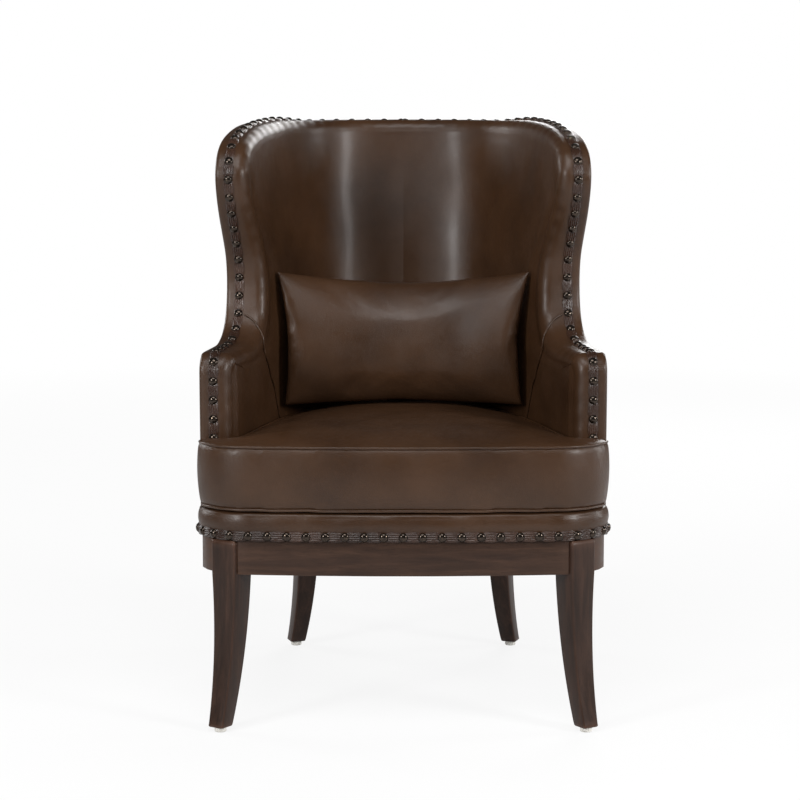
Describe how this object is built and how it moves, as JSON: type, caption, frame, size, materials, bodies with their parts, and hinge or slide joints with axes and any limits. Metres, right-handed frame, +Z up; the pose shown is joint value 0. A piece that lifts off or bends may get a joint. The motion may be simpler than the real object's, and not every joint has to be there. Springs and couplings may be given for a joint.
{
  "type": "wingback armchair",
  "caption": "Leather wingback armchair with a barrel back, low arms, a loose T-shaped seat cushion, a loose lumbar pillow, nail-head trim and dark wood sabre legs.",
  "frame": {"origin": "on the floor, under the middle of the bounding box", "axes": "+Z up; the chair faces -Y, so the back is towards +Y; +X is its right side seen from the front"},
  "size_m": [0.6944, 0.71, 1.0073],
  "materials": {
    "brown_leather": "semi-gloss, creased, dark in the creases",
    "trim_leather": "pleated leather strip under dark bronze nail heads",
    "stained_wood": "espresso stain, satin varnish",
    "raw_wood": "planed, unfinished",
    "foam": "matte cream foam",
    "steel": "drawn wire and pressed steel",
    "dark_cloth": "matte black woven cloth",
    "pale_nylon": "matte off-white",
    "fibre_fill": "matte off-white"
  },
  "bodies": {
    "chair": {"front_apron": "stained_wood", "rear_seat_rail": "stained_wood", "right_seat_rail": "stained_wood", "left_seat_rail": "stained_wood", "front_left_leg": "stained_wood", "front_left_glide": "pale_nylon", "front_left_corner_block": "raw_wood", "front_left_leg_bolt": "steel", "front_right_leg": "stained_wood", "front_right_glide": "pale_nylon", "front_right_corner_block": "raw_wood", "front_right_leg_bolt": "steel", "rear_left_leg": "stained_wood", "rear_left_glide": "pale_nylon", "rear_left_corner_block": "raw_wood", "rear_left_leg_bolt": "steel", "rear_right_leg": "stained_wood", "rear_right_glide": "pale_nylon", "rear_right_corner_block": "raw_wood", "rear_right_leg_bolt": "steel", "seat_spring_1": "steel", "seat_spring_2": "steel", "seat_spring_3": "steel", "seat_spring_4": "steel", "front_spring_clip_strip": "steel", "rear_spring_clip_strip": "steel", "deck_cloth": "dark_cloth", "deck_pad": "foam", "front_edge_roll": "foam", "border_cover": "brown_leather", "dust_cover": "dark_cloth", "left_side_panel": "raw_wood", "right_side_panel": "raw_wood", "top_rail": "raw_wood", "lower_back_rail": "raw_wood", "left_back_post": "raw_wood", "right_back_post": "raw_wood", "back_webbing": "dark_cloth", "back_foam": "foam", "left_arm_foam": "foam", "right_arm_foam": "foam", "inside_back_cover": "brown_leather", "left_inside_arm_cover": "brown_leather", "right_inside_arm_cover": "brown_leather", "outside_back_cover": "brown_leather", "left_outside_cover": "brown_leather", "right_outside_cover": "brown_leather", "right_rim_nail_trim": "trim_leather", "left_rim_nail_trim": "trim_leather", "front_base_nail_trim": "trim_leather", "right_base_nail_trim": "trim_leather", "left_base_nail_trim": "trim_leather"},
    "seat_cushion": {"seat_cushion_cover": "brown_leather", "seat_cushion_bottom_panel": "brown_leather", "seat_cushion_core": "foam"},
    "lumbar_pillow": {"lumbar_pillow_front": "brown_leather", "lumbar_pillow_back": "brown_leather", "lumbar_pillow_fill": "fibre_fill"}
  },
  "joints": [
    {"name": "seat_cushion_lift", "type": "slide", "parent": "chair", "child": "seat_cushion", "axis": [0, -0.5, 0.866], "range_m": [0, 0.25]},
    {"name": "lumbar_pillow_lift", "type": "slide", "parent": "seat_cushion", "child": "lumbar_pillow", "axis": [0, -0.5, 0.866], "range_m": [0, 0.2]}
  ]
}
